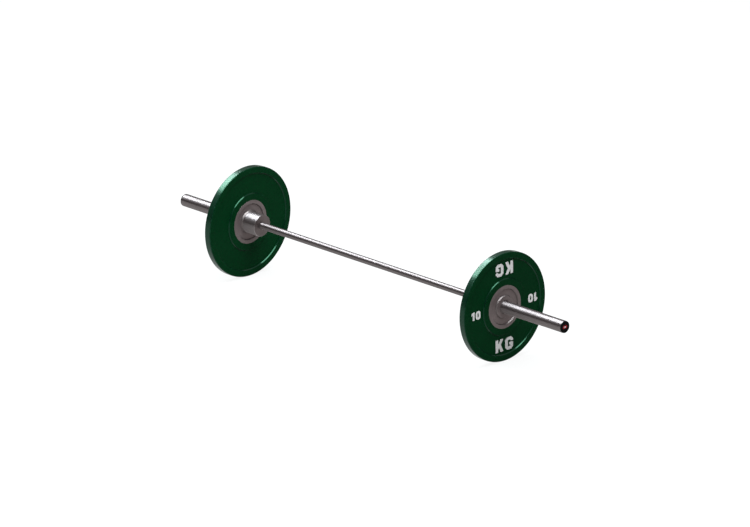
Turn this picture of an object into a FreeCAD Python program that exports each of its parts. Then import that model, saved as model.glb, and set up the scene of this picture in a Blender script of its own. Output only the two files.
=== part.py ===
import FreeCAD
import Part
import math
import os

# Barbell with one bumper plate on each weight sleeve.
# The bar lies along X with the middle of its grip at the origin, and Z points up. Lengths are millimetres.
# The right half is modelled, and the left half is its mirror image.

# Lengths along the bar
grip_length = 1264.0            # bare shaft between the two collars
collar_width = 66.0
sleeve_length = 364.0           # from the collar's outer face to the sleeve's end
cap_flange_thickness = 3.0

# Diameters and walls of the bar, from the weight sleeve inwards
sleeve_diameter = 50.0          # the standard for plates with a two inch hole
sleeve_wall = 6.0
cup_wall = 2.5                  # bearing cup between the sleeve's bore and the needles
needle_diameter = 3.9
shoulder_height = 1.5           # step from the journal up to the grip, which comes to 28 across
running_clearance = 0.05        # radial, wherever one piece turns on another

# Collar and the end of the sleeve that it is pressed on
collar_diameter = 88.0
collar_seat_step = 2.0          # how far the sleeve is turned down for the collar
collar_lip = 4.0                # collar in front of the sleeve's inner end
collar_face_thickness = 2.5     # closed face of the collar, in front of the dust seal
collar_mouth_clearance = 0.5    # radial, from the collar's face to the grip
collar_chamfer = 1.5
sleeve_chamfer = 1.0

# Dust seal, thrust washers and bush at the collar end
seal_width = 6.0
seal_heel = 2.0                 # full-height part of the seal, behind its tapered lip
seal_lip_height = 1.2
seal_room = 1.5                 # grease space between the seal and the shaft's shoulder
washer_thickness = 2.0
washer_clearance = 0.3          # radial, to the sleeve's bore
bush_length = 30.0

# Needle bearings
cup_length = 30.0
cup_lip_thickness = 1.5
cup_lip_clearance = 0.7         # radial, from the cup's lips to the journal
cage_thickness = 1.8
cage_rim = 2.5                  # closed ring at each end of the cage
cage_end_clearance = 0.5
needle_count = 16
needle_end_clearance = 0.2
pocket_clearance = 0.1
spacer_wall = 1.5

# Retaining ring and the outer end of the shaft
ring_thickness = 1.6
ring_height = 3.0
ring_groove_depth = 1.0
ring_gap = 7.0                  # opening of the ring, between its lugs
lug_diameter = 5.0
lug_hole_diameter = 2.0
end_float = 0.2                 # play of the sleeve along the shaft
shaft_tail = 4.0                # shaft left outside the retaining ring
shaft_chamfer = 1.0
shaft_end_room = 5.0            # space between the shaft's end and the cap

# End cap
cap_plug_length = 14.0
cap_plug_wall = 5.0
cap_inset = 0.5                 # radial, from the sleeve's surface down to the cap's edge
cap_chamfer = 0.8
cap_dish_diameter = 28.0        # shallow round dish in the cap's face
cap_dish_depth = 0.6
cap_ring_section = 3.0
cap_ring_clearance = 0.05

# Bumper plate: rubber
plate_diameter = 450.0
plate_thickness = 30.0
plate_edge_radius = 4.0
rim_width = 25.5                # raised flat along the plate's edge
inner_ring_width = 26.0         # raised rubber ring around the hub
rubber_recess_depth = 4.0
rubber_step_run = 3.0           # radial run of the sloping step at each side of the recess

# Bumper plate: steel hub
hub_diameter = 178.0
hub_flange_width = 14.0         # raised flat along the hub's edge
boss_diameter = 89.0            # raised flat around the hole
hub_recess_depth = 5.0
hub_step_run = 3.5
plate_bush_wall = 3.4
plate_bush_chamfer = 1.5
plate_clearance = 0.6           # radial, between the plate's hole and the sleeve
core_thickness = 12.0
anchor_width = 27.5             # how far the core reaches into the rubber
anchor_hole_count = 12
anchor_hole_diameter = 8.0

# Radii that follow from the sizes above
sleeve_radius = sleeve_diameter / 2
bore_radius = sleeve_radius - sleeve_wall
raceway_radius = bore_radius - cup_wall
needle_radius = needle_diameter / 2
needle_pitch_radius = raceway_radius - running_clearance - needle_radius
journal_radius = needle_pitch_radius - needle_radius - running_clearance
shaft_radius = journal_radius + shoulder_height
seat_radius = sleeve_radius - collar_seat_step
collar_radius = collar_diameter / 2
plate_radius = plate_diameter / 2
hub_radius = hub_diameter / 2
boss_radius = boss_diameter / 2
plate_bore_radius = sleeve_radius + plate_clearance
plate_bush_radius = plate_bore_radius + plate_bush_wall
core_radius = hub_radius + anchor_width

# Places along X on the right half
collar_inner_face = grip_length / 2
collar_outer_face = collar_inner_face + collar_width
sleeve_end = collar_outer_face + sleeve_length
cap_end = sleeve_end + cap_flange_thickness
seal_start = collar_inner_face + collar_face_thickness
shoulder_face = seal_start + seal_width + seal_room
bush_start = shoulder_face + washer_thickness
inner_bearing_start = bush_start + bush_length
plug_start = sleeve_end - cap_plug_length
shaft_end = plug_start - shaft_end_room
ring_start = shaft_end - shaft_tail - ring_thickness
outer_washer_start = ring_start - end_float - washer_thickness
outer_bearing_start = outer_washer_start - cup_length
plate_centre = collar_outer_face + plate_thickness / 2

ALONG_BAR = FreeCAD.Vector(1, 0, 0)
MIDDLE = FreeCAD.Vector(0, 0, 0)


def turned(outline):
    """Solid of revolution about the bar's axis, from a closed outline of (x, radius) corners."""
    corners = [FreeCAD.Vector(x, 0, radius) for x, radius in outline]
    wire = Part.makePolygon(corners + corners[:1])
    return Part.Face(wire).revolve(MIDDLE, ALONG_BAR, 360)


def tube(start, length, outer_radius, inner_radius):
    """Plain ring or tube on the bar's axis."""
    end = start + length
    return turned([(start, inner_radius), (start, outer_radius), (end, outer_radius), (end, inner_radius)])


def rod(start, length, radius, y, z):
    """Round rod parallel to the bar's axis, through (y, z)."""
    return Part.makeCylinder(radius, length, FreeCAD.Vector(start, y, z), ALONG_BAR)


def rods_in_circle(count, start, length, radius, pitch_radius):
    """Round rods evenly spaced on a circle about the bar's axis."""
    turns = [2 * math.pi * index / count for index in range(count)]
    return [
        rod(start, length, radius, pitch_radius * math.cos(turn), pitch_radius * math.sin(turn))
        for turn in turns
    ]


def with_round_edges(solid, edge_radius, circle_radius):
    """The solid with its circular edges of one radius rounded over."""
    circles = [edge for edge in solid.Edges if isinstance(edge.Curve, Part.Circle)]
    chosen = [edge for edge in circles if math.isclose(edge.Curve.Radius, circle_radius)]
    return solid.makeFillet(edge_radius, chosen)


def make_shaft():
    """One bar: the grip, a shoulder and a journal at each end, and a groove for each retaining ring."""
    groove_radius = journal_radius - ring_groove_depth
    right = [
        (shoulder_face, shaft_radius),
        (shoulder_face, journal_radius),
        (ring_start, journal_radius),
        (ring_start, groove_radius),
        (ring_start + ring_thickness, groove_radius),
        (ring_start + ring_thickness, journal_radius),
        (shaft_end - shaft_chamfer, journal_radius),
        (shaft_end, journal_radius - shaft_chamfer),
        (shaft_end, 0),
    ]
    left = [(-x, radius) for x, radius in reversed(right)]
    return turned(right + left)


def make_sleeve_tube():
    """Weight sleeve, turned down at its inner end as a seat for the collar."""
    start = collar_inner_face + collar_lip
    return turned([
        (start, bore_radius),
        (start, seat_radius),
        (collar_outer_face, seat_radius),
        (collar_outer_face, sleeve_radius),
        (sleeve_end - sleeve_chamfer, sleeve_radius),
        (sleeve_end, sleeve_radius - sleeve_chamfer),
        (sleeve_end, bore_radius),
    ])


def make_collar():
    """Thick ring that stops the plate: a lip over the sleeve's end, and a face closed round the grip."""
    lip_end = collar_inner_face + collar_lip
    mouth_radius = shaft_radius + collar_mouth_clearance
    return turned([
        (collar_inner_face, mouth_radius),
        (collar_inner_face, collar_radius - collar_chamfer),
        (collar_inner_face + collar_chamfer, collar_radius),
        (collar_outer_face - collar_chamfer, collar_radius),
        (collar_outer_face, collar_radius - collar_chamfer),
        (collar_outer_face, seat_radius),
        (lip_end, seat_radius),
        (lip_end, bore_radius),
        (seal_start, bore_radius),
        (seal_start, mouth_radius),
    ])


def make_dust_seal():
    """Rubber ring behind the collar's face, with a tapered lip that runs on the grip."""
    end = seal_start + seal_width
    lip_radius = shaft_radius + running_clearance
    return turned([
        (seal_start, lip_radius),
        (seal_start, lip_radius + seal_lip_height),
        (end - seal_heel, bore_radius - seal_lip_height),
        (end - seal_heel, bore_radius),
        (end, bore_radius),
        (end, lip_radius),
    ])


def make_thrust_washer(start):
    """Flat bronze washer on the journal."""
    return tube(start, washer_thickness, bore_radius - washer_clearance, journal_radius + running_clearance)


def make_bronze_bush():
    """Plain bush pressed in the sleeve's bore beside the shoulder."""
    return tube(bush_start, bush_length, bore_radius, journal_radius + running_clearance)


def make_spacer_tube():
    """Thin tube in the bore that keeps the two bearing cups apart."""
    start = inner_bearing_start + cup_length
    return tube(start, outer_bearing_start - start, bore_radius, bore_radius - spacer_wall)


def make_bearing_cup(start):
    """Drawn cup: the needles' outer race, with a lip at each end that keeps the cage in."""
    end = start + cup_length
    lip_radius = journal_radius + cup_lip_clearance
    return turned([
        (start, lip_radius),
        (start, bore_radius),
        (end, bore_radius),
        (end, lip_radius),
        (end - cup_lip_thickness, lip_radius),
        (end - cup_lip_thickness, raceway_radius),
        (start + cup_lip_thickness, raceway_radius),
        (start + cup_lip_thickness, lip_radius),
    ])


def make_cage_and_needles(start):
    """Cage with one window for each needle, and the needles as a group of separate solids."""
    cage_start = start + cup_lip_thickness + cage_end_clearance
    cage_length = cup_length - 2 * (cup_lip_thickness + cage_end_clearance)
    pocket_start = cage_start + cage_rim
    pocket_length = cage_length - 2 * cage_rim
    needle_start = pocket_start + needle_end_clearance
    needle_length = pocket_length - 2 * needle_end_clearance
    half_cage = cage_thickness / 2
    cage = tube(cage_start, cage_length, needle_pitch_radius + half_cage, needle_pitch_radius - half_cage)
    pocket_radius = needle_radius + pocket_clearance
    pockets = rods_in_circle(needle_count, pocket_start, pocket_length, pocket_radius, needle_pitch_radius)
    needles = rods_in_circle(needle_count, needle_start, needle_length, needle_radius, needle_pitch_radius)
    return cage.cut(pockets), Part.makeCompound(needles)


def make_retaining_ring():
    """Spring clip in the shaft's groove, open at the bottom between two lugs with plier holes."""
    inner_radius = journal_radius - ring_groove_depth
    outer_radius = inner_radius + ring_height
    opening_corner = FreeCAD.Vector(ring_start, -ring_gap / 2, -outer_radius)
    ring = tube(ring_start, ring_thickness, outer_radius, inner_radius)
    ring = ring.cut(Part.makeBox(ring_thickness, ring_gap, outer_radius, opening_corner))
    lug_radius = lug_diameter / 2
    lug_offset = ring_gap / 2 + lug_radius
    lug_drop = -math.sqrt(outer_radius**2 - lug_offset**2)
    for side in (1, -1):
        ring = ring.fuse(rod(ring_start, ring_thickness, lug_radius, side * lug_offset, lug_drop))
    for side in (1, -1):
        ring = ring.cut(rod(ring_start, ring_thickness, lug_hole_diameter / 2, side * lug_offset, lug_drop))
    return ring.cut(tube(ring_start, ring_thickness, inner_radius, 0))


def make_end_cap():
    """Hollow plug with a groove for its rubber ring, and a flange that closes the sleeve's end."""
    flange_radius = sleeve_radius - cap_inset
    dish_radius = cap_dish_diameter / 2
    dish_face = cap_end - cap_dish_depth
    plug_middle = plug_start + cap_plug_length / 2
    groove_half = cap_ring_section / 2 + cap_ring_clearance
    groove_radius = bore_radius - 2 * groove_half
    return turned([
        (plug_start, bore_radius - cap_plug_wall),
        (plug_start, bore_radius),
        (plug_middle - groove_half, bore_radius),
        (plug_middle - groove_half, groove_radius),
        (plug_middle + groove_half, groove_radius),
        (plug_middle + groove_half, bore_radius),
        (sleeve_end, bore_radius),
        (sleeve_end, flange_radius),
        (cap_end - cap_chamfer, flange_radius),
        (cap_end, flange_radius - cap_chamfer),
        (cap_end, dish_radius),
        (dish_face, dish_radius),
        (dish_face, 0),
        (sleeve_end, 0),
        (sleeve_end, bore_radius - cap_plug_wall),
    ])


def make_cap_seal_ring():
    """Round-section rubber ring in the cap's groove."""
    section_radius = cap_ring_section / 2
    pitch_radius = bore_radius - cap_ring_clearance - section_radius
    centre = FreeCAD.Vector(plug_start + cap_plug_length / 2, 0, 0)
    return Part.makeTorus(pitch_radius, section_radius, centre, ALONG_BAR)


def make_plate_core():
    """Steel disc in the middle of the plate. Holes in its edge key it into the rubber."""
    start = plate_centre - core_thickness / 2
    core = tube(start, core_thickness, core_radius, plate_bush_radius)
    hole_radius = anchor_hole_diameter / 2
    hole_pitch_radius = hub_radius + anchor_width / 2
    return core.cut(rods_in_circle(anchor_hole_count, start, core_thickness, hole_radius, hole_pitch_radius))


def make_plate_rubber(core):
    """Rubber tyre moulded round the core's edge, with the same recess in both faces."""
    inner_ring_radius = hub_radius + inner_ring_width
    rim_radius = plate_radius - rim_width
    face = plate_thickness / 2
    floor = face - rubber_recess_depth
    outer_side = [
        (plate_centre + face, plate_radius),
        (plate_centre + face, rim_radius),
        (plate_centre + floor, rim_radius - rubber_step_run),
        (plate_centre + floor, inner_ring_radius + rubber_step_run),
        (plate_centre + face, inner_ring_radius),
        (plate_centre + face, hub_radius),
    ]
    inner_side = [(2 * plate_centre - x, radius) for x, radius in reversed(outer_side)]
    tyre = with_round_edges(turned(outer_side + inner_side), plate_edge_radius, plate_radius)
    return tyre.cut(core)


def make_plate_disc(side):
    """Steel hub disc on the plate's outer (side 1) or inner (side -1) face."""
    back = plate_centre + side * core_thickness / 2
    face = plate_centre + side * plate_thickness / 2
    floor = face - side * hub_recess_depth
    flange_radius = hub_radius - hub_flange_width
    return turned([
        (back, plate_bush_radius),
        (face, plate_bush_radius),
        (face, boss_radius),
        (floor, boss_radius + hub_step_run),
        (floor, flange_radius - hub_step_run),
        (face, flange_radius),
        (face, hub_radius),
        (back, hub_radius),
    ])


def make_plate_bore_bush():
    """Steel lining of the plate's hole, with a chamfered mouth at each end."""
    start = plate_centre - plate_thickness / 2
    end = plate_centre + plate_thickness / 2
    mouth_radius = plate_bore_radius + plate_bush_chamfer
    return turned([
        (start, mouth_radius),
        (start, plate_bush_radius),
        (end, plate_bush_radius),
        (end, mouth_radius),
        (end - plate_bush_chamfer, plate_bore_radius),
        (start + plate_bush_chamfer, plate_bore_radius),
    ])


def make_right_half():
    """Every piece of the right half, by the name of the piece."""
    inner_cage, inner_needles = make_cage_and_needles(inner_bearing_start)
    outer_cage, outer_needles = make_cage_and_needles(outer_bearing_start)
    core = make_plate_core()
    return {
        "sleeve_tube": make_sleeve_tube(),
        "collar": make_collar(),
        "dust_seal": make_dust_seal(),
        "inner_thrust_washer": make_thrust_washer(shoulder_face),
        "bronze_bush": make_bronze_bush(),
        "inner_bearing_cup": make_bearing_cup(inner_bearing_start),
        "inner_bearing_cage": inner_cage,
        "inner_bearing_needles": inner_needles,
        "spacer_tube": make_spacer_tube(),
        "outer_bearing_cup": make_bearing_cup(outer_bearing_start),
        "outer_bearing_cage": outer_cage,
        "outer_bearing_needles": outer_needles,
        "outer_thrust_washer": make_thrust_washer(outer_washer_start),
        "retaining_ring": make_retaining_ring(),
        "end_cap": make_end_cap(),
        "cap_seal_ring": make_cap_seal_ring(),
        "plate_core": core,
        "plate_rubber": make_plate_rubber(core),
        "plate_outer_disc": make_plate_disc(1),
        "plate_inner_disc": make_plate_disc(-1),
        "plate_bore_bush": make_plate_bore_bush(),
    }


def main():
    """Write one file for each piece, the shaft first and then both halves."""
    os.makedirs("parts", exist_ok=True)
    make_shaft().exportStep("parts/shaft.step")
    for name, shape in make_right_half().items():
        shape.exportStep(f"parts/right_{name}.step")
        shape.mirror(MIDDLE, ALONG_BAR).exportStep(f"parts/left_{name}.step")


main()
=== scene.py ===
"""Looks of a loaded olympic barbell: turned and chromed steel, moulded rubber, and a white studio.

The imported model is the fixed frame, in metres, with the bar along X and its middle at the origin.
Every node that can be seen is replaced by a finer turned mesh of the same size, the nodes inside the
sleeves and plates keep their solids and get a finish, and the plates and caps get raised marks.
"""

from __future__ import annotations

import logging
import math
from dataclasses import dataclass
from enum import Enum
from typing import NamedTuple, Sequence

import bmesh
import bpy
from mathutils import Matrix, Vector

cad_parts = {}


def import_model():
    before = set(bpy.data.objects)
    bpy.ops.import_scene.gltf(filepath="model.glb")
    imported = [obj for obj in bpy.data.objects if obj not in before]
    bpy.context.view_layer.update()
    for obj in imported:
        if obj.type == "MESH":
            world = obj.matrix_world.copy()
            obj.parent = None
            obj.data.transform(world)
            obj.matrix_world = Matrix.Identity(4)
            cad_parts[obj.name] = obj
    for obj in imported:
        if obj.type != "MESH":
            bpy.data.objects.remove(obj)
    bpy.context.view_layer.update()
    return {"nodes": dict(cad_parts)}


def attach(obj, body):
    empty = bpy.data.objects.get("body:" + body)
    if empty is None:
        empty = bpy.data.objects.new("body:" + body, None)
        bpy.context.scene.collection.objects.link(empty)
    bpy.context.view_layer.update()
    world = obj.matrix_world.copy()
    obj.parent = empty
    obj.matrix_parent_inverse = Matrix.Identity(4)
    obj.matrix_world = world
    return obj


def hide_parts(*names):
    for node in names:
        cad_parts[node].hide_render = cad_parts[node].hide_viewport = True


LOG = logging.getLogger("barbell")

Tree = bpy.types.NodeTree
Socket = bpy.types.NodeSocket
Sockets = dict[str, object]                     # value or linked socket of a node's inputs, by name

MM = 0.001
EDGE_ATTRIBUTE = "edge"
WHITE = "FFFFFF"
HALF_TURN = 180.0                               # degrees
WELD = 1e-6                                     # metres; points nearer than this are one
ON_AXIS = 1e-6                                  # millimetres; a smaller radius is on the bar's axis
FINE_EDGE = 0.3                                 # millimetres; rounding of an edge that is only broken
ARC_STEP = 15.0                                 # degrees that a round corner turns from point to point
FEWEST_STEPS = 2                                # steps of the smallest round corner
STRAIGHT = 0.5                                  # degrees; a corner with a smaller half turn stays one point
ROOM_SHARE = 0.45                               # share of a straight run that the arc at one end may take
FLAT_FROM, SLOPE_FROM = 0.9, 0.45               # how far along the bar a flat face looks, and a slope
GLYPH_MIDDLE = 0.5                              # half the height of a glyph's box
NOISE_LOW, NOISE_HIGH = 0.3, 0.7                # range that a noise texture seldom leaves
MIX_SHARE, MIX_FIRST, MIX_SECOND = 0, 6, 7      # inputs of a Mix node that mixes colours
MIX_COLOUR = 2                                  # its output
ACROSS_BAR = (0.0, 1.0, 1.0)                    # times a place, leaves what is across the bar


class Side(Enum):
    """Which half of the bar a piece belongs to. The value is the sign of X there."""

    LEFT = -1
    RIGHT = 1

    @property
    def word(self) -> str:
        """Start of the names of this side's nodes, bodies and pieces."""
        return self.name.lower()


class FaceKind(Enum):
    """Which way a turned face looks. The value is the number of its finish in the piece's list."""

    FLAT = 0
    ROUND = 1
    SLOPE = 2

    @classmethod
    def of(cls, facing: float) -> FaceKind:
        """Kind of a face.

        Args:
            facing: How far the face looks along the bar, from 0, straight away from it, to 1.

        Returns:
            The kind.
        """
        if facing > FLAT_FROM:
            return cls.FLAT
        return cls.SLOPE if facing > SLOPE_FROM else cls.ROUND


class Corner(NamedTuple):
    """Corner of an outline: its place along it, its height or radius, and how far it is rounded."""

    along: float
    height: float
    rounding: float = FINE_EDGE


class OutlinePoint(NamedTuple):
    """Point of a rounded outline, with its outward normal.

    Edge is 1 on a round ridge, -1 in a round groove and 0 elsewhere.
    """

    along: float
    height: float
    normal_along: float
    normal_height: float
    edge: float


def linear(hex_colour: str) -> tuple[float, float, float, float]:
    """Linear colour of an sRGB hex value.

    Args:
        hex_colour: Six hex digits, red first.

    Returns:
        Red, green, blue and a full alpha, as a shader's socket takes them.
    """
    shares = [int(hex_colour[start:start + 2], 16) / 255 for start in (0, 2, 4)]
    # The numbers are those of the sRGB standard's own curve
    red, green, blue = (s / 12.92 if s <= 0.04045 else ((s + 0.055) / 1.055) ** 2.4 for s in shares)
    return red, green, blue, 1.0


def per_metre(size_mm: float) -> float:
    """Scale of a texture whose features are about this many millimetres across."""
    return 1 / (size_mm * MM)


def add(tree: Tree, kind: str, inputs: dict | None = None, **settings: object) -> bpy.types.Node:
    """Adds a node with its settings and links.

    Args:
        tree: Node tree that gets the node.
        kind: Blender's name for the kind of node.
        inputs: Value or linked socket of each input, by the input's name or number.
        **settings: The node's other properties.

    Returns:
        The new node.
    """
    node = tree.nodes.new(kind)
    for name, value in settings.items():
        setattr(node, name, value)
    for key, value in (inputs or {}).items():
        if isinstance(value, Socket):
            tree.links.new(value, node.inputs[key])
        else:
            node.inputs[key].default_value = value
    return node


# Outlines and meshes


def rounded_corner(before: Corner, corner: Corner, after: Corner) -> list[OutlinePoint]:
    """Points of one corner of an outline that runs clockwise, so that its outside is on the left.

    Args:
        before: The corner that comes first.
        corner: The corner to round.
        after: The corner that comes next.

    Returns:
        The points of the arc, or one point where the outline hardly turns.
    """
    here = Vector(corner[:2])
    arriving = here - Vector(before[:2])
    leaving = Vector(after[:2]) - here
    turn = arriving.angle_signed(leaving)
    start_normal = arriving.orthogonal().normalized()
    half_turn = abs(turn) / 2
    if half_turn < math.radians(STRAIGHT) or not corner.rounding:
        normal = (start_normal + leaving.orthogonal().normalized()).normalized()
        return [OutlinePoint(*here, *normal, 0.0)]
    room = ROOM_SHARE * min(arriving.length, leaving.length)
    cut = min(corner.rounding * math.tan(half_turn), room)
    radius = cut / math.tan(half_turn)
    ridge = 1.0 if turn > 0 else -1.0
    start = here - arriving.normalized() * cut
    centre = start - start_normal * radius * ridge
    steps = max(FEWEST_STEPS, math.ceil(math.degrees(abs(turn)) / ARC_STEP))
    points = []
    for step in range(steps + 1):
        share = step / steps
        normal = Matrix.Rotation(-turn * share, 2) @ start_normal
        place = centre + normal * radius * ridge
        points.append(OutlinePoint(*place, *normal, ridge * math.sin(math.pi * share)))
    return points


def rounded_loop(corners: Sequence[Corner]) -> list[OutlinePoint]:
    """Closed outline with round corners.

    Args:
        corners: Corners in clockwise order.

    Returns:
        The points of the outline, once round.
    """
    count = len(corners)
    points: list[OutlinePoint] = []
    for index, corner in enumerate(corners):
        points += rounded_corner(corners[index - 1], corner, corners[(index + 1) % count])
    return points


def rounded_chain(corners: Sequence[Corner]) -> list[OutlinePoint]:
    """Open outline with round corners, from the bar's axis back to the axis.

    Args:
        corners: Corners in clockwise order. The first and the last are on the axis, and stay sharp.

    Returns:
        The points of the outline, from end to end.
    """
    first_normal = (Vector(corners[1][:2]) - Vector(corners[0][:2])).orthogonal().normalized()
    last_normal = (Vector(corners[-1][:2]) - Vector(corners[-2][:2])).orthogonal().normalized()
    points = [OutlinePoint(*corners[0][:2], *first_normal, 0.0)]
    for before, corner, after in zip(corners, corners[1:], corners[2:]):
        points += rounded_corner(before, corner, after)
    points.append(OutlinePoint(*corners[-1][:2], *last_normal, 0.0))
    return points


def on_side(corners: Sequence[Corner], side: Side) -> list[Corner]:
    """Outline of one side's piece, from the outline of the right one.

    Args:
        corners: Corners of the right piece, in clockwise order.
        side: The side asked for.

    Returns:
        The corners on that side, still in clockwise order.
    """
    if side is Side.RIGHT:
        return list(corners)
    return [Corner(-along, height, rounding) for along, height, rounding in reversed(corners)]


def turned_mesh(name: str, points: Sequence[OutlinePoint], segments: int) -> bpy.types.Mesh:
    """Mesh of an outline turned about the bar's axis, with its own exact normals.

    Each face keeps the number of its kind, which picks one of the piece's finishes.

    Args:
        name: Name of the mesh.
        points: The outline in millimetres. One whose ends are on the axis is open, and any other is closed.
        segments: Faces round the axis.

    Returns:
        The mesh, in metres.
    """
    turns = [2 * math.pi * step / segments for step in range(segments)]
    circle = [(math.cos(turn), math.sin(turn)) for turn in turns]
    places, normals, edges, rings = [], [], [], []
    for point in points:
        on_axis = point.height < ON_AXIS
        spokes = circle[:1] if on_axis else circle
        lean = 0.0 if on_axis else point.normal_height
        start = len(places)
        rings.append([start] * segments if on_axis else list(range(start, start + segments)))
        for y, z in spokes:
            places.append((point.along * MM, point.height * y * MM, point.height * z * MM))
            normals.append(Vector((point.normal_along, lean * y, lean * z)).normalized())
            edges.append(point.edge)
    following = list(range(1, len(points))) + ([0] if points[0].height > ON_AXIS else [])
    faces, kinds = [], []
    for index, next_index in enumerate(following):
        near, far = rings[index], rings[next_index]
        facing = abs(points[index].normal_along + points[next_index].normal_along) / 2
        kinds += [FaceKind.of(facing).value] * segments
        for step in range(segments):
            after = (step + 1) % segments
            ring_face = (near[step], near[after], far[after], far[step])
            faces.append(tuple(dict.fromkeys(ring_face)))
    mesh = bpy.data.meshes.new(name)
    mesh.from_pydata(places, [], faces)
    mesh.polygons.foreach_set("material_index", kinds)
    mesh.shade_smooth()
    mesh.attributes.new(EDGE_ATTRIBUTE, "FLOAT", "POINT").data.foreach_set("value", edges)
    mesh.normals_split_custom_set_from_vertices(normals)
    mesh.update()
    return mesh


def show(mesh: bpy.types.Mesh, body: str, finishes: Sequence[Finish], slot: str, *nodes: str) -> None:
    """Puts a mesh in the scene as a piece that rides on a body.

    Args:
        mesh: The piece's mesh, in the frame of the bar. The piece takes its name.
        body: The CAD body that it moves with.
        finishes: Finishes of its kinds of face, in their order. The last one serves all kinds that are left.
        slot: The record's material slot for it. Not used.
        *nodes: CAD nodes that it stands for.
    """
    piece = bpy.data.objects.new(mesh.name, mesh)
    bpy.context.scene.collection.objects.link(piece)
    for finish in finishes:
        mesh.materials.append(finish.material())
    kinds = [min(face.material_index, len(finishes) - 1) for face in mesh.polygons]
    mesh.polygons.foreach_set("material_index", kinds)
    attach(piece, body)
    if nodes:
        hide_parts(*nodes)
    names = " and ".join(finish.name for finish in finishes)
    LOG.info("%s rides on %s, finish %s, faces %d", piece.name, body, names, len(mesh.polygons))


# Patterns that finishes are made of


class Noise(NamedTuple):
    """Noise texture, by the size of its features."""

    size_mm: float
    detail: float

    def sockets(self, place: Socket) -> Sockets:
        """Inputs of the texture's node, for a place in metres."""
        return {"Vector": place, "Scale": per_metre(self.size_mm), "Detail": self.detail}


class Streaks(NamedTuple):
    """Noise texture drawn out along the bar or across it, by the size of its features both ways."""

    along_mm: float
    across_mm: float
    detail: float

    @property
    def scale(self) -> tuple[float, float, float]:
        """Features in a metre of each axis."""
        return per_metre(self.along_mm), per_metre(self.across_mm), per_metre(self.across_mm)


class Ramp(NamedTuple):
    """Stretch of a value's range over which a share climbs from nothing to its most."""

    start: float
    end: float

    def sockets(self, value: Socket, most: float = 1.0) -> Sockets:
        """Inputs of the node that turns the value into the share."""
        return {"Value": value, "From Min": self.start, "From Max": self.end, "To Min": 0.0, "To Max": most}


@dataclass(frozen=True)
class Grain:
    """How deep a fine pattern goes into a surface: its swing of the roughness either way, and its relief."""

    swing: float
    strength: float
    depth_mm: float

    def sockets(self, tree: Tree, pattern: Socket, roughness: float) -> Sockets:
        """Works a pattern into a surface.

        Args:
            tree: The material's node tree.
            pattern: The pattern.
            roughness: The surface's roughness without it.

        Returns:
            Roughness and normal, as inputs of the shader.
        """
        gloss = add(tree, "ShaderNodeMapRange", {
            "Value": pattern, "From Min": NOISE_LOW, "From Max": NOISE_HIGH,
            "To Min": roughness - self.swing, "To Max": roughness + self.swing,
        })
        relief = add(tree, "ShaderNodeBump", {
            "Height": pattern, "Strength": self.strength, "Distance": self.depth_mm * MM,
        })
        return {"Roughness": gloss.outputs[0], "Normal": relief.outputs[0]}


RIDGES, GROOVES = Ramp(0.0, 1.0), Ramp(0.0, -1.0)       # of the edge attribute


# Finishes


@dataclass(frozen=True)
class Finish:
    """What a surface is made of. Each kind says what goes into its shader."""

    name: str

    def material(self) -> bpy.types.Material:
        """The finish as a material.

        Returns:
            The material, which is made once and then found again.
        """
        made = bpy.data.materials.get(self.name)
        if made:
            return made
        made = bpy.data.materials.new(self.name)
        made.use_nodes = True
        tree = made.node_tree
        tree.nodes.clear()
        shader = add(tree, "ShaderNodeBsdfPrincipled", self.sockets(tree))
        add(tree, "ShaderNodeOutputMaterial", {"Surface": self.surface(tree, shader)})
        return made

    def sockets(self, tree: Tree) -> Sockets:
        """Draws the finish's patterns.

        Args:
            tree: The material's node tree.

        Returns:
            Value or linked socket of each input of the principled shader that the finish sets.
        """
        raise NotImplementedError

    def surface(self, tree: Tree, shader: bpy.types.Node) -> Socket:
        """What the eye meets: the principled shader, unless a kind of finish adds to it."""
        return shader.outputs["BSDF"]


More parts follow.
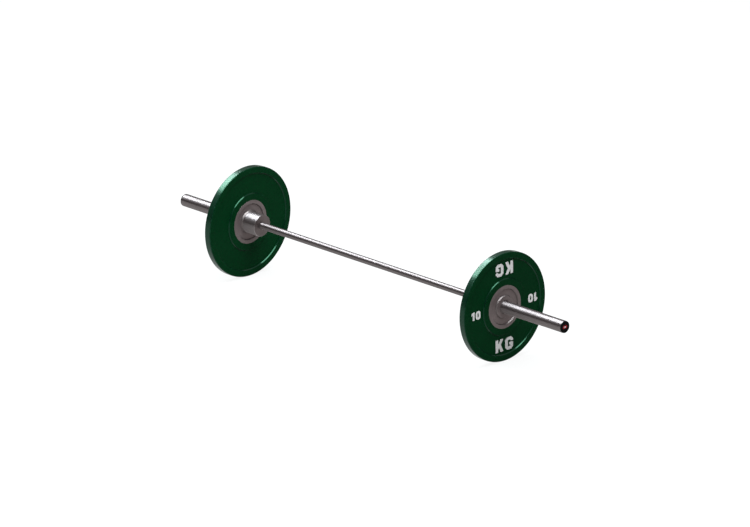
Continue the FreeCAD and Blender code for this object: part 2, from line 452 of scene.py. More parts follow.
@dataclass(frozen=True)
class GroundChrome(Finish):
    """Hard chrome on a ground steel bar.

    The grinding wheel leaves fine rings round the bar, so a lamp's reflection is drawn out along the bar.
    Plates and hands rub it along the bar, which leaves faint scuffs the other way.
    """

    colour: str
    bright: str
    roughness: float = 0.52
    anisotropy: float = 0.95
    anisotropy_turn: float = 0.25       # a quarter turn, from round the bar to along it
    # Real rings are finer; these are as fine as a close view shows
    rings: Streaks = Streaks(along_mm=1.2, across_mm=60.0, detail=3.0)
    scuffs: Streaks = Streaks(along_mm=90.0, across_mm=1.5, detail=2.0)
    scuffing: Ramp = Ramp(0.56, 0.72)
    scuff_share: float = 0.3
    scuff_dulling: float = 0.08
    grain: Grain = Grain(swing=0.05, strength=0.04, depth_mm=0.05)

    def sockets(self, tree: Tree) -> Sockets:
        """Draws rings and scuffs in colour, roughness and relief.

        Args:
            tree: The material's node tree.

        Returns:
            The shader's inputs.
        """
        place = add(tree, "ShaderNodeTexCoord").outputs["Object"]
        patterns = []
        for streaks in (self.rings, self.scuffs):
            drawn_out = add(tree, "ShaderNodeVectorMath", {0: place, 1: streaks.scale}, operation="MULTIPLY")
            patterns.append(add(tree, "ShaderNodeTexNoise", {
                "Vector": drawn_out.outputs[0], "Scale": 1.0, "Detail": streaks.detail,
            }).outputs["Fac"])
        rings, scuffs = patterns
        scuffed = add(tree, "ShaderNodeMapRange", self.scuffing.sockets(scuffs, self.scuff_share)).outputs[0]
        edge = add(tree, "ShaderNodeAttribute", attribute_name=EDGE_ATTRIBUTE).outputs["Fac"]
        worn = add(tree, "ShaderNodeMath", {0: edge, 1: scuffed}, operation="MAXIMUM").outputs[0]
        colour = add(tree, "ShaderNodeMix", {
            MIX_SHARE: worn, MIX_FIRST: linear(self.colour), MIX_SECOND: linear(self.bright),
        }, data_type="RGBA").outputs[MIX_COLOUR]
        ringed = self.grain.sockets(tree, rings, self.roughness)
        gloss = add(tree, "ShaderNodeMath", {
            0: scuffed, 1: self.scuff_dulling, 2: ringed["Roughness"],
        }, operation="MULTIPLY_ADD").outputs[0]
        return ringed | {
            "Base Color": colour,
            "Roughness": gloss,
            "Tangent": add(tree, "ShaderNodeTangent", direction_type="RADIAL", axis="X").outputs[0],
            "Metallic": 1.0,
            "Anisotropic": self.anisotropy,
            "Anisotropic Rotation": self.anisotropy_turn,
        }


@dataclass(frozen=True)
class TurnedMetal(Finish):
    """Metal turned or faced on a lathe, plain or plated.

    The tool leaves rings about the bar's axis on faces and edges alike, so flat faces look an even satin,
    brighter where the corners are rubbed; a painted shade darkens the grooves a little.
    """

    colour: str
    bright: str
    # colour of the stains, and of the painted shade in the grooves
    dark: str
    roughness: float
    rings: Noise = Noise(0.9, 2.0)      # real tool marks are finer; these are as fine as a close view shows
    stains: Noise = Noise(25.0, 4.0)
    staining: Ramp = Ramp(0.35, 0.75)
    stain_share: float = 0.25
    grain: Grain = Grain(swing=0.06, strength=0.06, depth_mm=0.05)

    def sockets(self, tree: Tree) -> Sockets:
        """Draws tool rings in roughness and relief, and soft stains, rubbed corners and a painted shade in
        the grooves in colour.

        Args:
            tree: The material's node tree.

        Returns:
            The shader's inputs.
        """
        place = add(tree, "ShaderNodeTexCoord").outputs["Object"]
        across = add(tree, "ShaderNodeVectorMath", {0: place, 1: ACROSS_BAR}, operation="MULTIPLY")
        radius = add(tree, "ShaderNodeVectorMath", {0: across.outputs[0]}, operation="LENGTH")
        along = add(tree, "ShaderNodeSeparateXYZ", {0: place}).outputs["X"]
        outline = add(tree, "ShaderNodeCombineXYZ", {"X": along, "Y": radius.outputs["Value"]}).outputs[0]
        rings = add(tree, "ShaderNodeTexNoise", self.rings.sockets(outline), noise_dimensions="2D")
        stains = add(tree, "ShaderNodeTexNoise", self.stains.sockets(place)).outputs["Fac"]
        stained = add(tree, "ShaderNodeMapRange", self.staining.sockets(stains, self.stain_share)).outputs[0]
        edge = add(tree, "ShaderNodeAttribute", attribute_name=EDGE_ATTRIBUTE).outputs["Fac"]
        rubbed = add(tree, "ShaderNodeMapRange", RIDGES.sockets(edge)).outputs[0]
        # painted shade: the grooves are darkened towards the dark colour
        groove_shade = add(tree, "ShaderNodeMapRange", GROOVES.sockets(edge)).outputs[0]
        stains_and_shade = add(tree, "ShaderNodeMath", {0: stained, 1: groove_shade}, operation="MAXIMUM").outputs[0]
        plain = add(tree, "ShaderNodeMix", {
            MIX_SHARE: stains_and_shade, MIX_FIRST: linear(self.colour), MIX_SECOND: linear(self.dark),
        }, data_type="RGBA").outputs[MIX_COLOUR]
        colour = add(tree, "ShaderNodeMix", {
            MIX_SHARE: rubbed, MIX_FIRST: plain, MIX_SECOND: linear(self.bright),
        }, data_type="RGBA").outputs[MIX_COLOUR]
        return self.grain.sockets(tree, rings.outputs["Fac"], self.roughness) | {
            "Base Color": colour,
            "Metallic": 1.0,
        }


@dataclass(frozen=True)
class MouldedRubber(Finish):
    """Vulcanised rubber from a steel mould.

    Where the mould is blasted the rubber has a fine matt grain, with painted shade darkening its pits, and
    where it is polished the rubber takes a soft highlight. The corners that meet the floor are scuffed a
    little paler.
    """

    colour: str
    cloud: str
    roughness: float
    specular_level: float
    grain: Grain
    pit_share: float = 0.0
    # colour of the painted shade in the grain's pits
    pit: str = "000C05"
    scuff: str = "2E5A44"
    gloss_tint: str = "A0FFCE"
    grains: Noise = Noise(1.4, 3.0)     # real grain is finer; this is as fine as a close view shows
    clouds: Noise = Noise(45.0, 4.0)
    rubs: Noise = Noise(9.0, 5.0)
    pitting: Ramp = Ramp(0.55, 0.35)
    scuffing: Ramp = Ramp(0.5, 0.7)
    scuff_share: float = 0.15

    def sockets(self, tree: Tree) -> Sockets:
        """Draws grain in roughness and relief, a painted shade in its pits, and clouding and scuffed corners
        in colour.

        Args:
            tree: The material's node tree.

        Returns:
            The shader's inputs.
        """
        place = add(tree, "ShaderNodeTexCoord").outputs["Object"]
        grains, clouds, rubs = (
            add(tree, "ShaderNodeTexNoise", noise.sockets(place)).outputs["Fac"]
            for noise in (self.grains, self.clouds, self.rubs)
        )
        # painted shade: the grain's low points are darkened towards the pit colour
        pit_shaded = add(tree, "ShaderNodeMapRange", self.pitting.sockets(grains, self.pit_share)).outputs[0]
        patchy = add(tree, "ShaderNodeMapRange", self.scuffing.sockets(rubs, self.scuff_share)).outputs[0]
        edge = add(tree, "ShaderNodeAttribute", attribute_name=EDGE_ATTRIBUTE).outputs["Fac"]
        scuffed = add(tree, "ShaderNodeMath", {0: edge, 1: patchy}, operation="MULTIPLY", use_clamp=True)
        colour = linear(self.colour)
        for share, other in ((clouds, self.cloud), (pit_shaded, self.pit), (scuffed.outputs[0], self.scuff)):
            colour = add(tree, "ShaderNodeMix", {
                MIX_SHARE: share, MIX_FIRST: colour, MIX_SECOND: linear(other),
            }, data_type="RGBA").outputs[MIX_COLOUR]
        return self.grain.sockets(tree, grains, self.roughness) | {
            "Base Color": colour,
            "Specular IOR Level": self.specular_level,
            "Specular Tint": linear(self.gloss_tint),
        }


@dataclass(frozen=True)
class GrainedPolymer(Finish):
    """Plain moulded plastic, rubber or paint with a fine grain.

    One colour that drifts a little, an even low gloss, and corners that are rubbed to another shade.
    """

    colour: str
    rubbed: str
    roughness: float
    specular_level: float = 0.3
    grains: Noise = Noise(0.8, 2.0)     # real grain is finer; this is as fine as a close view shows
    drifts: Noise = Noise(12.0, 3.0)
    drifting: Ramp = Ramp(0.3, 0.8)
    drift_share: float = 0.2
    grain: Grain = Grain(swing=0.06, strength=0.1, depth_mm=0.08)

    def sockets(self, tree: Tree) -> Sockets:
        """Draws grain in roughness and relief, drift and rubbed corners in colour.

        Args:
            tree: The material's node tree.

        Returns:
            The shader's inputs.
        """
        place = add(tree, "ShaderNodeTexCoord").outputs["Object"]
        grains = add(tree, "ShaderNodeTexNoise", self.grains.sockets(place)).outputs["Fac"]
        drifts = add(tree, "ShaderNodeTexNoise", self.drifts.sockets(place)).outputs["Fac"]
        edge = add(tree, "ShaderNodeAttribute", attribute_name=EDGE_ATTRIBUTE).outputs["Fac"]
        corner = add(tree, "ShaderNodeMath", {0: edge, 1: drifts}, operation="MULTIPLY", use_clamp=True)
        drifted = add(tree, "ShaderNodeMapRange", self.drifting.sockets(drifts, self.drift_share)).outputs[0]
        share = add(tree, "ShaderNodeMath", {0: corner.outputs[0], 1: drifted}, operation="MAXIMUM")
        colour = add(tree, "ShaderNodeMix", {
            MIX_SHARE: share.outputs[0], MIX_FIRST: linear(self.colour), MIX_SECOND: linear(self.rubbed),
        }, data_type="RGBA").outputs[MIX_COLOUR]
        return self.grain.sockets(tree, grains, self.roughness) | {
            "Base Color": colour,
            "Specular IOR Level": self.specular_level,
        }


@dataclass(frozen=True)
class StudioFloor(Finish):
    """Pale matt studio floor, white to the eye and in reflections, with the object's shadow on it."""

    colour: str = "B2B2B0"
    mottle: str = "B5B5B3"
    roughness: float = 0.9
    white_share: float = 0.88
    mottles: Noise = Noise(400.0, 2.0)

    def sockets(self, tree: Tree) -> Sockets:
        """Draws a faint mottle in matt paint.

        Args:
            tree: The material's node tree.

        Returns:
            The shader's inputs.
        """
        place = add(tree, "ShaderNodeTexCoord").outputs["Object"]
        mottles = add(tree, "ShaderNodeTexNoise", self.mottles.sockets(place)).outputs["Fac"]
        colour = add(tree, "ShaderNodeMix", {
            MIX_SHARE: mottles, MIX_FIRST: linear(self.colour), MIX_SECOND: linear(self.mottle),
        }, data_type="RGBA").outputs[MIX_COLOUR]
        return {"Base Color": colour, "Roughness": self.roughness, "Specular IOR Level": 0.0}

    def surface(self, tree: Tree, shader: bpy.types.Node) -> Socket:
        """Lit paint, mostly covered by plain white where the eye or a reflection meets it.

        Args:
            tree: The material's node tree.
            shader: The paint's shader.

        Returns:
            The paint and the white, mixed.
        """
        ray = add(tree, "ShaderNodeLightPath").outputs
        seen = ray["Is Camera Ray"]
        for other in (ray["Is Glossy Ray"], ray["Is Transmission Ray"]):
            seen = add(tree, "ShaderNodeMath", {0: seen, 1: other}, operation="MAXIMUM").outputs[0]
        share = add(tree, "ShaderNodeMath", {0: seen, 1: self.white_share}, operation="MULTIPLY")
        white = add(tree, "ShaderNodeEmission", {"Color": linear(WHITE), "Strength": 1.0})
        mixed = add(tree, "ShaderNodeMixShader", {
            0: share.outputs[0], 1: shader.outputs["BSDF"], 2: white.outputs[0],
        })
        return mixed.outputs[0]


# Grain of rubber from a blasted mould, and from a smooth one
BLASTED_GRAIN = Grain(swing=0.05, strength=0.6, depth_mm=0.12)
SMOOTH_GRAIN = Grain(swing=0.05, strength=0.02, depth_mm=0.12)

# Hard chrome on a ground bar: lamps show as soft bands along it, over faint rings
GRIP_CHROME = GroundChrome(
    "hard_chrome_on_ground_bar", "777070", "878080",
    rings=Streaks(along_mm=1.0, across_mm=60.0, detail=3.0), scuff_share=0.2,
)
# Bright chrome on a turned tube: the same bands, with more scuffs from plates
SLEEVE_CHROME = GroundChrome("bright_chrome_on_turned_sleeve", "7B7474", "8B8484")
# Chrome that no plate slides on, with a paler colour painted in for the lamp light that the plate keeps off
# it: the palest bands of the three
COLLAR_CHROME = GroundChrome("chrome_on_turned_collar_painted_paler", "8D8686", "9D9696")
# Chrome on a faced end: an even satin grey with fine rings
COLLAR_FACE = TurnedMetal("satin_chrome_on_faced_collar", "635A59", "797070", "453E3D", 0.5)
# Plated steel, faced: a matt, warm grey with no more than a soft sheen
HUB_FACE = TurnedMetal("matt_plated_faced_steel", "766B6A", "8C8281", "544C4B", 0.72)
# Plated steel, turned: slopes and edges that catch a soft gleam
HUB_STEEL = TurnedMetal("satin_plated_turned_steel", "68605F", "827A79", "4A4544", 0.48)
# Rubber from a blasted mould: flat dark green with a fine grain whose pits are painted darker as shade, and
# hardly any gloss
MATT_RUBBER = MouldedRubber(
    "green_rubber_from_blasted_mould", "00270E", "00210C", 0.62, 0.03, BLASTED_GRAIN, pit_share=0.7,
)
# Rubber from a polished mould: a smooth tread with a broad pale highlight
TREAD_RUBBER = MouldedRubber(
    "green_rubber_from_polished_mould", "001409", "001108", 0.24, 0.34, SMOOTH_GRAIN,
)
# Rubber from a turned mould: smooth slopes that light up as thin arcs
STEP_RUBBER = MouldedRubber(
    "green_rubber_from_turned_mould", "001409", "001108", 0.14, 0.27, SMOOTH_GRAIN,
)
# Inlaid rubber: pale grey figures with a low even gloss
MARK_RUBBER = GrainedPolymer("pale_grey_inlaid_rubber", "A8A2A1", "979190", 0.55)
# Moulded ABS: black, nearly without gloss
CAP_ABS = GrainedPolymer("black_moulded_abs", "020202", "0C0C0C", 0.5, specular_level=0.03)
# Pad print, two inks: flat colours with a faint sheen
CAP_WHITE = GrainedPolymer("white_pad_print", "A8A6A5", "989695", 0.5)
CAP_RED = GrainedPolymer("red_pad_print", "700813", "5C0610", 0.5, specular_level=0.1)
# Nitrile rubber: soft black
NITRILE = GrainedPolymer("black_nitrile_rubber", "161616", "2A2A2A", 0.6)
# Hardened and ground steel: pale and bright
RACE_STEEL = TurnedMetal("hardened_bearing_steel", "C2C2C4", "D4D4D6", "8E8E90", 0.25)
# Flame-cut steel: plain grey
CORE_STEEL = TurnedMetal("flame_cut_plate_steel", "8A8886", "A3A19F", "5C5A58", 0.5)
# Sintered bronze full of oil: brown gold
BRONZE = TurnedMetal("oiled_sintered_bronze", "B8863F", "CC9B54", "7C5828", 0.45)
# Drawn aluminium: pale grey
ALUMINIUM = TurnedMetal("drawn_aluminium_tube", "D6D7D9", "E2E3E5", "A5A6A8", 0.35)


# Marks


class Glyph(NamedTuple):
    """Block figure or letter in a box one unit high: its width, and its outlines, the outer one first."""

    width: float
    loops: tuple[tuple[Corner, ...], ...]


def glyph(width: float, *loops: tuple[float, Sequence[tuple[float, float]]]) -> Glyph:
    """Glyph from plain outlines, in shares of its height.

    Args:
        width: Width of the glyph.
        *loops: Rounding and corners of each outline.

    Returns:
        The glyph with its corners rounded alike in each outline.
    """
    cornered = (tuple(Corner(u, v, rounding) for u, v in places) for rounding, places in loops)
    return Glyph(width, tuple(cornered))


GLYPHS = {
    "0": glyph(
        0.74,
        (0.30, [(0, 1), (0.74, 1), (0.74, 0), (0, 0)]),
        (0.09, [(0.27, 0.76), (0.47, 0.76), (0.47, 0.24), (0.27, 0.24)]),
    ),
    "1": glyph(0.50, (0.03, [
        (0.26, 1), (0.5, 1), (0.5, 0), (0.21, 0), (0.21, 0.68), (0, 0.58), (0, 0.83),
    ])),
    "2": glyph(0.72, (0.05, [
        (0.18, 1), (0.54, 1), (0.72, 0.82), (0.72, 0.56), (0.35, 0.24), (0.72, 0.24), (0.72, 0), (0, 0),
        (0, 0.24), (0.46, 0.64), (0.46, 0.77), (0.26, 0.77), (0.26, 0.66), (0, 0.66), (0, 0.82),
    ])),
    "K": glyph(0.82, (0.03, [
        (0, 1), (0.27, 1), (0.27, 0.62), (0.51, 1), (0.81, 1), (0.54, 0.58), (0.82, 0), (0.52, 0),
        (0.36, 0.36), (0.27, 0.24), (0.27, 0), (0, 0),
    ])),
    "G": glyph(0.82, (0.06, [
        (0.20, 1), (0.62, 1), (0.82, 0.80), (0.82, 0.66), (0.55, 0.66), (0.55, 0.76), (0.27, 0.76),
        (0.27, 0.24), (0.55, 0.24), (0.55, 0.35), (0.43, 0.35), (0.43, 0.56), (0.82, 0.56), (0.82, 0.20),
        (0.62, 0), (0.20, 0), (0, 0.20), (0, 0.80),
    ])),
    "-": glyph(1.9, (0.45, [(0, 1), (1.9, 1), (1.9, 0), (0, 0)])),
}


@dataclass(frozen=True)
class RaisedMark:
    """Figures that stand a little proud of a flat face across the bar. Sizes are in millimetres."""

    name: str
    text: str
    height: float
    relief: float
    across: float = 0.0         # place on the face, to the right as a person in front of it sees it
    up: float = 0.0
    turn_degrees: float = 0.0
    gap_share: float = 0.2      # space between figures, as a share of their height
    bevel_share: float = 0.3    # round edge of the figures, as a share of their relief
    bevel_steps: int = 2

    def outlines(self) -> list[list[tuple[float, float]]]:
        """Outlines of all figures.

        Returns:
            The points of each outline, round the mark's own middle.
        """
        gaps = self.gap_share * (len(self.text) - 1)
        cursor = -(sum(GLYPHS[letter].width for letter in self.text) + gaps) / 2
        found = []
        for letter in self.text:
            for loop in GLYPHS[letter].loops:
                found.append([
                    ((point.along + cursor) * self.height, (point.height - GLYPH_MIDDLE) * self.height)
                    for point in rounded_loop(loop)
                ])
            cursor += GLYPHS[letter].width + self.gap_share
        return found

    def mesh(self, face_mm: float, side: Side) -> bpy.types.Mesh:
        """Closed mesh of the mark on a face.

        Args:
            face_mm: Distance of the face from the bar's middle.
            side: The side whose outward face carries the mark.

        Returns:
            The mesh, which goes as deep into the face as it stands proud of it.
        """
        bevel = self.bevel_share * self.relief
        curve = bpy.data.curves.new(self.name, "CURVE")
        curve.dimensions = "2D"
        curve.fill_mode = "BOTH"
        curve.extrude = (self.relief - bevel) * MM
        curve.bevel_depth = bevel * MM
        curve.bevel_resolution = self.bevel_steps
        curve.offset = -bevel * MM
        for outline in self.outlines():
            spline = curve.splines.new("POLY")
            spline.points.add(len(outline) - 1)
            for point, (u, v) in zip(spline.points, outline):
                point.co = (u * MM, v * MM, 0.0, 1.0)
            spline.use_cyclic_u = True
        drawing = bpy.data.objects.new(self.name, curve)
        mesh = bpy.data.meshes.new_from_object(drawing)
        bpy.data.objects.remove(drawing)
        mesh.name = self.name
        welded = bmesh.new()
        welded.from_mesh(mesh)
        bmesh.ops.remove_doubles(welded, verts=welded.verts, dist=WELD)
        welded.to_mesh(mesh)
        welded.free()
        right = Vector((0.0, side.value, 0.0))
        outward = Vector((side.value, 0.0, 0.0))
        upward = Vector((0.0, 0.0, 1.0))
        facing = Matrix((right, upward, outward)).transposed().to_4x4()
        place = outward * face_mm + right * self.across + upward * self.up
        turned = Matrix.Rotation(math.radians(self.turn_degrees), 4, "Z")
        mesh.transform(Matrix.Translation(place * MM) @ facing @ turned)
        mesh.shade_flat()
        return mesh


# Sub-assemblies


@dataclass(frozen=True)
class GripShaft:
    """The bar itself: a grip between the collars, and a journal in each sleeve. Sizes are in millimetres."""

    grip_radius: float = 14.0
    journal_radius: float = 12.5
    shoulder_at: float = 642.0
    groove_at: float = 1037.4
    groove_width: float = 1.6
    groove_radius: float = 11.5
    end_at: float = 1043.0
    end_chamfer: float = 1.0
    segments: int = 96

    def outline(self) -> list[Corner]:
        """Outline of the whole shaft.

        Returns:
            Its corners, from the left end to the right end.
        """
        groove_end = self.groove_at + self.groove_width
        right = [
            Corner(self.shoulder_at, self.grip_radius),
            Corner(self.shoulder_at, self.journal_radius),
            Corner(self.groove_at, self.journal_radius),
            Corner(self.groove_at, self.groove_radius),
            Corner(groove_end, self.groove_radius),
            Corner(groove_end, self.journal_radius),
            Corner(self.end_at - self.end_chamfer, self.journal_radius),
            Corner(self.end_at, self.journal_radius - self.end_chamfer),
            Corner(self.end_at, 0.0),
        ]
        return on_side(right, Side.LEFT) + right

    def build(self) -> None:
        """Makes the shaft in one piece."""
        mesh = turned_mesh("grip_shaft", rounded_chain(self.outline()), self.segments)
        show(mesh, "shaft", [GRIP_CHROME], "grip_chrome", "shaft")


@dataclass(frozen=True)
class WeightSleeve:
    """Sleeve, collar and end cap of one side. Sizes are in millimetres."""

    side: Side
    sleeve_radius: float = 25.0
    bore_radius: float = 19.0
    seat_radius: float = 23.0
    collar_radius: float = 44.0
    collar_from: float = 632.0
    collar_to: float = 698.0
    collar_lip: float = 4.0
    collar_face: float = 2.5
    mouth_radius: float = 14.5
    collar_edge: float = 2.0
    sleeve_to: float = 1062.0
    sleeve_edge: float = 1.2
    cap_to: float = 1065.0
    cap_radius: float = 24.5
    cap_edge: float = 1.1
    plug_from: float = 1048.0
    plug_radius: float = 14.0
    groove_middle: float = 1055.0
    groove_half: float = 1.55
    dish_radius: float = 14.0
    dish_depth: float = 0.6
    field_height: float = 12.5
    field_relief: float = 0.25
    figure_height: float = 6.0
    figure_relief: float = 0.5
    segments: int = 144

    @property
    def lip_end(self) -> float:
        """Where the collar's lip ends and the sleeve begins."""
        return self.collar_from + self.collar_lip

    @property
    def dish_face(self) -> float:
        """Where the bottom of the cap's dish is, which carries the marks."""
        return self.cap_to - self.dish_depth

    def sleeve_outline(self) -> list[Corner]:
        """Outline of the right sleeve, with its turned-down seat for the collar.

        Returns:
            Its corners.
        """
        return [
            Corner(self.lip_end, self.seat_radius),
            Corner(self.collar_to, self.seat_radius),
            Corner(self.collar_to, self.sleeve_radius),
            Corner(self.sleeve_to, self.sleeve_radius, self.sleeve_edge),
            Corner(self.sleeve_to, self.bore_radius),
            Corner(self.lip_end, self.bore_radius),
        ]

    def collar_outline(self) -> list[Corner]:
        """Outline of the right collar: a lip over the sleeve's end, and a face that closes on the grip.

        Returns:
            Its corners.
        """
        face_back = self.collar_from + self.collar_face
        return [
            Corner(self.collar_from, self.collar_radius, self.collar_edge),
            Corner(self.collar_to, self.collar_radius, self.collar_edge),
            Corner(self.collar_to, self.seat_radius),
            Corner(self.lip_end, self.seat_radius),
            Corner(self.lip_end, self.bore_radius),
            Corner(face_back, self.bore_radius),
            Corner(face_back, self.mouth_radius),
            Corner(self.collar_from, self.mouth_radius),
        ]

    def cap_outline(self) -> list[Corner]:
        """Outline of the right cap: hollow plug, groove for its rubber ring, flange and shallow dish.

        Returns:
            Its corners, from the axis back to the axis.
        """
        groove_start = self.groove_middle - self.groove_half
        groove_end = self.groove_middle + self.groove_half
        groove_radius = self.bore_radius - 2 * self.groove_half
        return [
            Corner(self.sleeve_to, 0.0),
            Corner(self.sleeve_to, self.plug_radius),
            Corner(self.plug_from, self.plug_radius),
            Corner(self.plug_from, self.bore_radius),
            Corner(groove_start, self.bore_radius),
            Corner(groove_start, groove_radius),
            Corner(groove_end, groove_radius),
            Corner(groove_end, self.bore_radius),
            Corner(self.sleeve_to, self.bore_radius),
            Corner(self.sleeve_to, self.cap_radius),
            Corner(self.cap_to, self.cap_radius, self.cap_edge),
            Corner(self.cap_to, self.dish_radius),
            Corner(self.dish_face, self.dish_radius),
            Corner(self.dish_face, 0.0),
        ]

    def build(self) -> None:
        """Makes the turned pieces and the cap's marks."""
        side, word = self.side, self.side.word
        body = f"{word}_sleeve"
        sleeve = rounded_loop(on_side(self.sleeve_outline(), side))
        collar = rounded_loop(on_side(self.collar_outline(), side))
        cap = rounded_chain(on_side(self.cap_outline(), side))
        show(turned_mesh(f"{word}_weight_sleeve", sleeve, self.segments),
             body, [SLEEVE_CHROME], "sleeve_chrome", f"{word}_sleeve_tube")
        show(turned_mesh(f"{word}_collar_ring", collar, self.segments),
             body, [COLLAR_FACE, COLLAR_CHROME], "sleeve_chrome", f"{word}_collar")
        show(turned_mesh(f"{word}_cap_plug", cap, self.segments),
             body, [CAP_ABS], "cap_plastic", f"{word}_end_cap")
        field = RaisedMark(f"{word}_cap_field", "-", self.field_height, self.field_relief)
        figures = RaisedMark(f"{word}_cap_figures", "20", self.figure_height, self.figure_relief)
        show(field.mesh(self.dish_face, side), body, [CAP_RED], "cap_plastic")
        show(figures.mesh(self.dish_face, side), body, [CAP_WHITE], "cap_plastic")


@dataclass(frozen=True)
class BumperPlate:
    """Rubber tyre, steel hub and raised figures of one side's plate. Sizes are in millimetres."""

    side: Side
    inner_face: float = 698.0
    outer_face: float = 728.0
    radius: float = 225.0
    edge_radius: float = 4.0
    rim_width: float = 25.5
    ring_width: float = 26.0
    recess_depth: float = 4.0
    step_run: float = 3.0
    step_edge: float = 1.2
    hub_radius: float = 89.0
    flange_width: float = 14.0
    boss_radius: float = 44.5
    hub_recess_depth: float = 5.0
    hub_step_run: float = 3.5
    hub_edge: float = 0.8
    core_half: float = 6.0
    core_radius: float = 116.5
    lining_radius: float = 29.0
    bore_radius: float = 25.6
    mouth: float = 1.5
    figure_height: float = 34.5
    unit_height: float = 52.0
    mark_radius: float = 157.5
    mark_relief: float = 1.2
    tyre_segments: int = 288
    hub_segments: int = 192

    @property
    def middle(self) -> float:
        """Distance of the plate's middle plane from the bar's middle."""
        return (self.inner_face + self.outer_face) / 2

    def mirrored(self, corners: Sequence[Corner]) -> list[Corner]:
        """Mirrors an outline in the right plate's middle plane.

        Args:
            corners: Corners in clockwise order.

        Returns:
            The mirrored corners, still in clockwise order.
        """
        faces = self.inner_face + self.outer_face
        return [Corner(faces - along, height, rounding) for along, height, rounding in reversed(corners)]

    def tyre_outline(self) -> list[Corner]:
        """Outline of the right tyre, with a recess in each face and a slot for the steel core.

        Returns:
            Its corners, first those of the outer half.
        """
        rim = self.radius - self.rim_width
        ring = self.hub_radius + self.ring_width
        floor = self.outer_face - self.recess_depth
        slot = self.middle + self.core_half
        outer_half = [
            Corner(self.outer_face, self.radius, self.edge_radius),
            Corner(self.outer_face, rim, self.step_edge),
            Corner(floor, rim - self.step_run, self.step_edge),
            Corner(floor, ring + self.step_run, self.step_edge),
            Corner(self.outer_face, ring, self.step_edge),
            Corner(self.outer_face, self.hub_radius),
            Corner(slot, self.hub_radius),
            Corner(slot, self.core_radius),
        ]
        return outer_half + self.mirrored(outer_half)

    def outer_hub_outline(self) -> list[Corner]:
        """Outline of the right plate's outer hub disc: flange, recess and boss.

        Returns:
            Its corners.
        """
        face = self.outer_face
        floor = face - self.hub_recess_depth
        flange = self.hub_radius - self.flange_width
        back = self.middle + self.core_half
        return [
            Corner(back, self.hub_radius),
            Corner(face, self.hub_radius, self.hub_edge),
            Corner(face, flange, self.hub_edge),
            Corner(floor, flange - self.hub_step_run, self.hub_edge),
            Corner(floor, self.boss_radius + self.hub_step_run, self.hub_edge),
            Corner(face, self.boss_radius, self.hub_edge),
            Corner(face, self.lining_radius),
            Corner(back, self.lining_radius),
        ]

    def lining_outline(self) -> list[Corner]:
        """Outline of the steel lining of the right plate's hole.

        Returns:
            Its corners, first those of the outer half.
        """
        outer_half = [
            Corner(self.outer_face, self.lining_radius),
            Corner(self.outer_face, self.bore_radius + self.mouth),
            Corner(self.outer_face - self.mouth, self.bore_radius),
        ]
        return outer_half + self.mirrored(outer_half)

    def marks(self) -> list[RaisedMark]:
        """Raised figures on the outer face.

        Returns:
            The weight at both sides, and its unit above and below.
        """
        word, place, relief = self.side.word, self.mark_radius, self.mark_relief
        return [
            RaisedMark(f"{word}_weight_front", "10", self.figure_height, relief, -place, 0.0),
            RaisedMark(f"{word}_weight_rear", "10", self.figure_height, relief, place, 0.0, HALF_TURN),
            RaisedMark(f"{word}_unit_low", "KG", self.unit_height, relief, 0.0, -place),
            RaisedMark(f"{word}_unit_high", "KG", self.unit_height, relief, 0.0, place, HALF_TURN),
        ]

    def build(self) -> None:
        """Makes the tyre, the hub and the marks."""
        side, word = self.side, self.side.word
        body = f"{word}_plate"
        tyre = rounded_loop(on_side(self.tyre_outline(), side))
        show(turned_mesh(f"{word}_tyre", tyre, self.tyre_segments),
             body, [MATT_RUBBER, TREAD_RUBBER, STEP_RUBBER], "plate_rubber", f"{word}_plate_rubber")
        hub = self.outer_hub_outline()
        for name, outline, node in (
            ("outer_hub", hub, "plate_outer_disc"),
            ("inner_hub", self.mirrored(hub), "plate_inner_disc"),
            ("bore_lining", self.lining_outline(), "plate_bore_bush"),
        ):
            mesh = turned_mesh(f"{word}_{name}", rounded_loop(on_side(outline, side)), self.hub_segments)
            show(mesh, body, [HUB_FACE, HUB_STEEL], "hub_steel", f"{word}_{node}")
        recess_floor = self.outer_face - self.recess_depth
        for mark in self.marks():
            show(mark.mesh(recess_floor, side), body, [MARK_RUBBER], "plate_rubber")


@dataclass(frozen=True)
class InnerWorks:
    """Bearings, seals, washers and cores, which keep their solids."""

    finishes: tuple[tuple[str, Finish], ...] = (
        ("dust_seal", NITRILE),
        ("inner_thrust_washer", BRONZE),
        ("bronze_bush", BRONZE),
        ("inner_bearing_cup", RACE_STEEL),
        ("inner_bearing_cage", RACE_STEEL),
        ("inner_bearing_needles", RACE_STEEL),
        ("spacer_tube", ALUMINIUM),
        ("outer_bearing_cup", RACE_STEEL),
        ("outer_bearing_cage", RACE_STEEL),
        ("outer_bearing_needles", RACE_STEEL),
        ("outer_thrust_washer", BRONZE),
        ("retaining_ring", RACE_STEEL),
        ("cap_seal_ring", NITRILE),
        ("plate_core", CORE_STEEL),
    )

    def dress(self, nodes: dict[str, bpy.types.Object]) -> None:
        """Gives each hidden node its finish.

        Args:
            nodes: The CAD nodes by name.
        """
        for side in Side:
            for name, finish in self.finishes:
                materials = nodes[f"{side.word}_{name}"].data.materials
                materials.clear()
                materials.append(finish.material())
                LOG.info("%s_%s keeps its solid, finish %s", side.word, name, finish.name)


# Studio


@dataclass(frozen=True)
class Softbox:
    """Soft lamp. Sizes and places are in metres, power in watts."""

    name: str
    place: tuple[float, float, float]
    long_side: float
    short_side: float
    power: float
    aim: tuple[float, float, float] = (0.0, 0.0, 0.0)
    colour: str = "EEFAFF"      # daylight tubes, a shade cool

    def build(self) -> None:
        """Hangs the lamp with its long side level."""
        lamp = bpy.data.lights.new(self.name, "AREA")
        lamp.shape = "RECTANGLE"
        lamp.size = self.long_side
        lamp.size_y = self.short_side
        lamp.energy = self.power
        lamp.color = linear(self.colour)[:3]
        beam = Vector(self.aim) - Vector(self.place)
        holder = bpy.data.objects.new(self.name, lamp)
        holder.location = self.place
        holder.rotation_euler = beam.to_track_quat("-Z", "Y").to_euler()
        holder.visible_camera = False
        bpy.context.scene.collection.objects.link(holder)


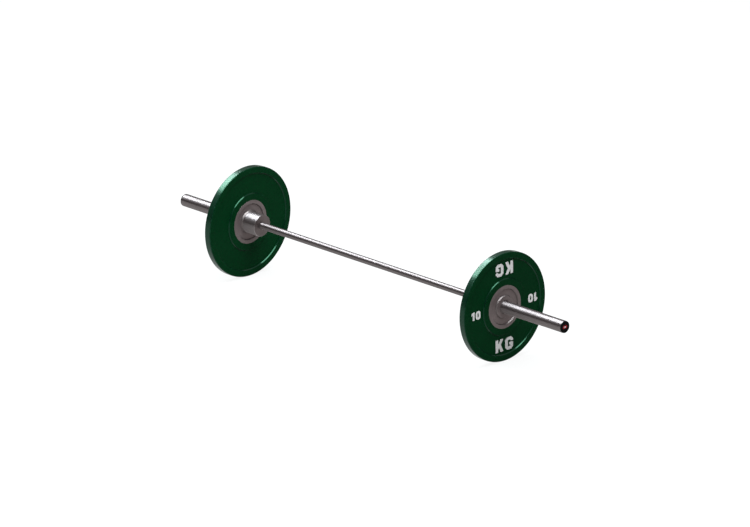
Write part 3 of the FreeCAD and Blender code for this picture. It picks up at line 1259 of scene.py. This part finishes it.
@dataclass(frozen=True)
class Studio:
    """White floor, a wide softbox over the bar, a narrow one at its left end, and a plain sky."""

    floor_height: float = -0.2252
    floor_half: float = 20.0
    horizon: str = "7A7374"
    zenith: str = "E7E7E9"
    brightening: Ramp = Ramp(0.18, 0.78)        # heights in the sky, where 0 is level and 1 is overhead
    lamps: tuple[Softbox, ...] = (
        Softbox("overhead_softbox", (1.0, -1.0, 6.4), 6.0, 5.6, 1800.0, (1.0, -1.0, 0.0)),
        Softbox("key_softbox", (-5.4, 0.1, 5.9), 5.6, 1.1, 680.0),
    )

    def build(self) -> None:
        """Makes the floor, the lamps and the sky."""
        half = self.floor_half
        mesh = bpy.data.meshes.new("studio_floor")
        corners = [(-half, -half), (half, -half), (half, half), (-half, half)]
        mesh.from_pydata([(x, y, self.floor_height) for x, y in corners], [], [(0, 1, 2, 3)])
        mesh.materials.append(StudioFloor("pale_matt_floor_paint").material())
        floor = bpy.data.objects.new("studio_floor", mesh)
        bpy.context.scene.collection.objects.link(floor)
        for lamp in self.lamps:
            lamp.build()
        self.build_sky()

    def build_sky(self) -> None:
        """Makes a sky that is dim along the horizon, brighter overhead, and white below like the floor."""
        world = bpy.data.worlds.new("studio_sky")
        world.use_nodes = True
        tree = world.node_tree
        tree.nodes.clear()
        direction = add(tree, "ShaderNodeTexCoord").outputs["Generated"]
        height = add(tree, "ShaderNodeSeparateXYZ", {0: direction}).outputs["Z"]
        share = add(tree, "ShaderNodeMapRange", self.brightening.sockets(height),
                    interpolation_type="SMOOTHSTEP").outputs[0]
        above = add(tree, "ShaderNodeMix", {
            MIX_SHARE: share, MIX_FIRST: linear(self.horizon), MIX_SECOND: linear(self.zenith),
        }, data_type="RGBA").outputs[MIX_COLOUR]
        below = add(tree, "ShaderNodeMath", {0: height, 1: 0.0}, operation="LESS_THAN").outputs[0]
        colour = add(tree, "ShaderNodeMix", {
            MIX_SHARE: below, MIX_FIRST: above, MIX_SECOND: linear(WHITE),
        }, data_type="RGBA").outputs[MIX_COLOUR]
        light = add(tree, "ShaderNodeBackground", {"Color": colour, "Strength": 1.0})
        add(tree, "ShaderNodeOutputWorld", {"Surface": light.outputs[0]})
        bpy.context.scene.world = world


@dataclass(frozen=True)
class PictureCamera:
    """Camera with parallel rays at the photograph's viewing angle, in degrees and metres."""

    azimuth: float = 45.29
    elevation: float = 19.345
    picture_width: float = 2.956
    distance: float = 6.0

    def build(self) -> None:
        """Sets up the camera, aimed at the bar's middle."""
        turn, rise = math.radians(self.azimuth), math.radians(self.elevation)
        back = Vector((math.sin(turn) * math.cos(rise), -math.cos(turn) * math.cos(rise), math.sin(rise)))
        lens = bpy.data.cameras.new("picture_camera")
        lens.type = "ORTHO"
        lens.sensor_fit = "HORIZONTAL"
        lens.ortho_scale = self.picture_width
        camera = bpy.data.objects.new("picture_camera", lens)
        camera.location = back * self.distance
        camera.rotation_euler = (-back).to_track_quat("-Z", "Y").to_euler()
        bpy.context.scene.collection.objects.link(camera)
        bpy.context.scene.camera = camera


def main() -> None:
    """Loads the frame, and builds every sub-assembly and the studio."""
    logging.basicConfig(level=logging.INFO, format="%(name)s: %(message)s")
    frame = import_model()
    PictureCamera().build()
    GripShaft().build()
    for side in Side:
        WeightSleeve(side).build()
        BumperPlate(side).build()
    InnerWorks().dress(frame["nodes"])
    Studio().build()
    bpy.context.scene.view_settings.view_transform = "Standard"


if __name__ == "__main__":
    main()
